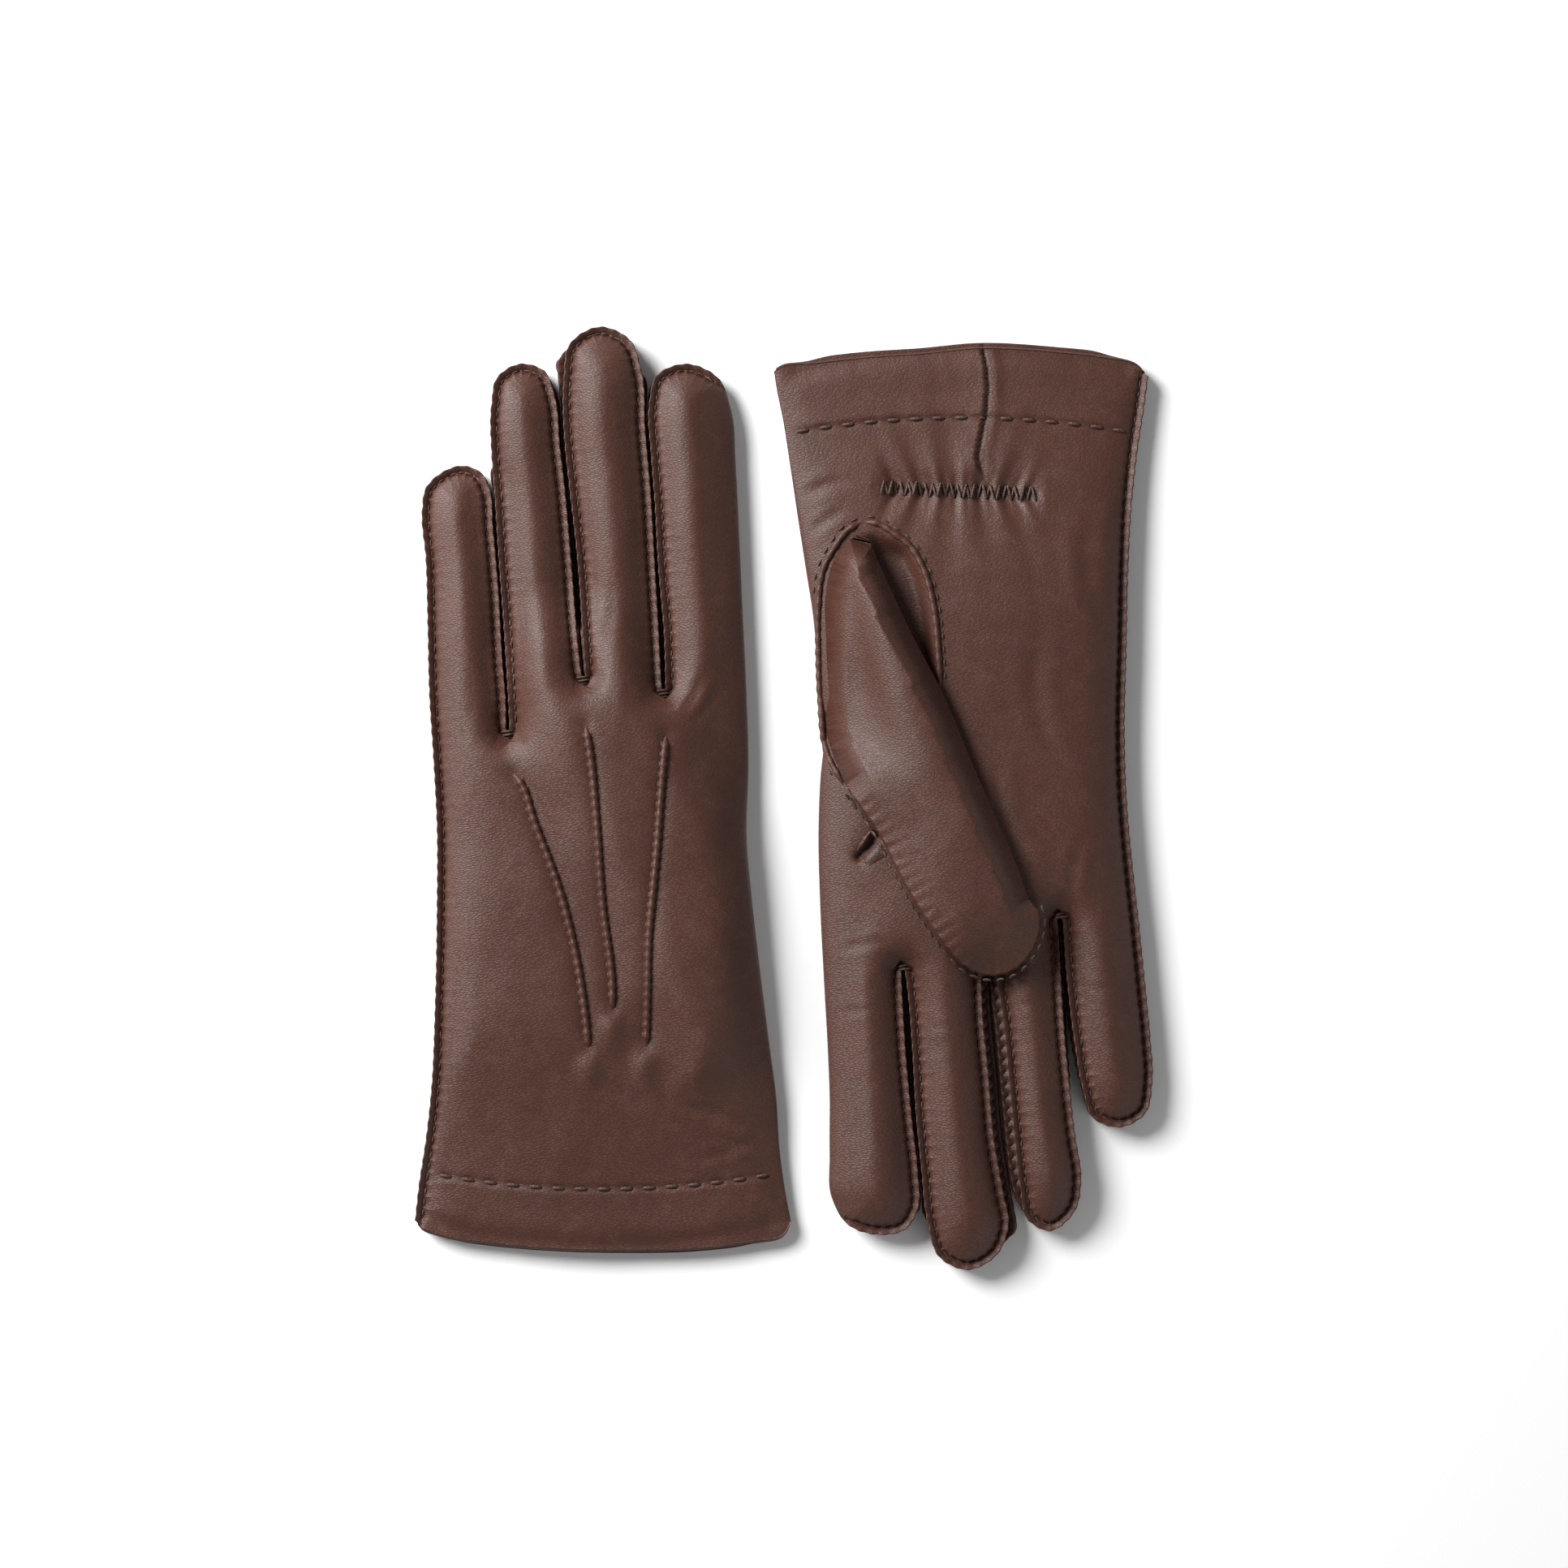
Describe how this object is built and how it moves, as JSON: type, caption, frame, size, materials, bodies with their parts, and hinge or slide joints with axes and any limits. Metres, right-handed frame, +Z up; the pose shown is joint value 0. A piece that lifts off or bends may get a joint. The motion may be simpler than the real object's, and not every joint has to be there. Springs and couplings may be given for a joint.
{
  "type": "leather glove pair",
  "caption": "Pair of hand-sewn leather dress gloves lying flat, one back up and one palm up, with outseamed fingers, side strips and knitted lining.",
  "frame": {"origin": "centre of the pair on the surface it lies on", "axes": "+Z up; +Y along the left glove's fingers and against the right glove's; the left glove is on the -X side"},
  "size_m": [0.1986, 0.256, 0.0222],
  "materials": {
    "leather": "soft matt grained leather",
    "side_leather": "soft matt grained leather",
    "thread": "waxed linen thread",
    "lining": "fine knit",
    "elastic": "woven elastic"
  },
  "bodies": {
    "right_hand": {"right_hand_leather": "leather", "right_thumb_base_leather": "leather", "right_thumb_quirk": "side_leather", "right_hand_lining": "lining", "right_wrist_elastic": "elastic", "right_wrist_zigzag_thread": "thread", "right_hem_thread": "thread", "right_point_threads": "thread", "right_hand_seam_threads": "thread"},
    "right_little_finger": {"right_little_leather": "leather", "right_little_fourchette_index_side": "side_leather", "right_little_lining": "lining", "right_little_thread": "thread"},
    "right_ring_finger": {"right_ring_leather": "leather", "right_ring_fourchette_little_side": "side_leather", "right_ring_fourchette_index_side": "side_leather", "right_ring_lining": "lining", "right_ring_thread": "thread"},
    "right_middle_finger": {"right_middle_leather": "leather", "right_middle_fourchette_little_side": "side_leather", "right_middle_fourchette_index_side": "side_leather", "right_middle_lining": "lining", "right_middle_thread": "thread"},
    "right_index_finger": {"right_index_leather": "leather", "right_index_fourchette_little_side": "side_leather", "right_index_lining": "lining", "right_index_thread": "thread"},
    "right_thumb": {"right_thumb_tip_leather": "leather", "right_thumb_lining": "lining", "right_thumb_thread": "thread"},
    "left_hand": {"left_hand_leather": "leather", "left_thumb_base_leather": "leather", "left_thumb_quirk": "side_leather", "left_hand_lining": "lining", "left_wrist_elastic": "elastic", "left_wrist_zigzag_thread": "thread", "left_hem_thread": "thread", "left_point_threads": "thread", "left_hand_seam_threads": "thread"},
    "left_little_finger": {"left_little_leather": "leather", "left_little_fourchette_index_side": "side_leather", "left_little_lining": "lining", "left_little_thread": "thread"},
    "left_ring_finger": {"left_ring_leather": "leather", "left_ring_fourchette_little_side": "side_leather", "left_ring_fourchette_index_side": "side_leather", "left_ring_lining": "lining", "left_ring_thread": "thread"},
    "left_middle_finger": {"left_middle_leather": "leather", "left_middle_fourchette_little_side": "side_leather", "left_middle_fourchette_index_side": "side_leather", "left_middle_lining": "lining", "left_middle_thread": "thread"},
    "left_index_finger": {"left_index_leather": "leather", "left_index_fourchette_little_side": "side_leather", "left_index_lining": "lining", "left_index_thread": "thread"},
    "left_thumb": {"left_thumb_tip_leather": "leather", "left_thumb_lining": "lining", "left_thumb_thread": "thread"}
  },
  "joints": [
    {"name": "left_glove_lift", "type": "slide", "parent": "right_hand", "child": "left_hand", "axis": [0, 0, 1], "range_m": [0, 0.12]},
    {"name": "right_little_flex", "type": "hinge", "parent": "right_hand", "child": "right_little_finger", "pos_m": [0.08558, -0.03987, 0.007], "axis": [-0.9982, -0.0593, 0], "range_deg": [-25, 75]},
    {"name": "right_ring_flex", "type": "hinge", "parent": "right_hand", "child": "right_ring_finger", "pos_m": [0.06592, -0.05484, 0.007], "axis": [-0.9968, -0.0802, 0], "range_deg": [-25, 75]},
    {"name": "right_middle_flex", "type": "hinge", "parent": "right_hand", "child": "right_middle_finger", "pos_m": [0.04476, -0.05534, 0.007], "axis": [-0.9972, -0.075, 0], "range_deg": [-25, 75]},
    {"name": "right_index_flex", "type": "hinge", "parent": "right_hand", "child": "right_index_finger", "pos_m": [0.02264, -0.05387, 0.007], "axis": [-0.9986, -0.0523, 0], "range_deg": [-25, 75]},
    {"name": "right_thumb_lift", "type": "hinge", "parent": "right_hand", "child": "right_thumb", "pos_m": [0.04264, -0.00376, 0.01785], "axis": [-0.9252, -0.3795, 0], "range_deg": [0, 85]},
    {"name": "left_little_flex", "type": "hinge", "parent": "left_hand", "child": "left_little_finger", "pos_m": [-0.08558, 0.03987, 0.0062], "axis": [-0.9982, -0.0593, 0], "range_deg": [-25, 75]},
    {"name": "left_ring_flex", "type": "hinge", "parent": "left_hand", "child": "left_ring_finger", "pos_m": [-0.06592, 0.05484, 0.0062], "axis": [-0.9968, -0.0802, 0], "range_deg": [-25, 75]},
    {"name": "left_middle_flex", "type": "hinge", "parent": "left_hand", "child": "left_middle_finger", "pos_m": [-0.04476, 0.05534, 0.0062], "axis": [-0.9972, -0.075, 0], "range_deg": [-25, 75]},
    {"name": "left_index_flex", "type": "hinge", "parent": "left_hand", "child": "left_index_finger", "pos_m": [-0.02264, 0.05387, 0.0062], "axis": [-0.9986, -0.0523, 0], "range_deg": [-25, 75]},
    {"name": "left_thumb_lift", "type": "hinge", "parent": "left_hand", "child": "left_thumb", "pos_m": [-0.04264, 0.00376, 0.0043], "axis": [-0.9252, -0.3795, 0], "range_deg": [0, 85]}
  ]
}
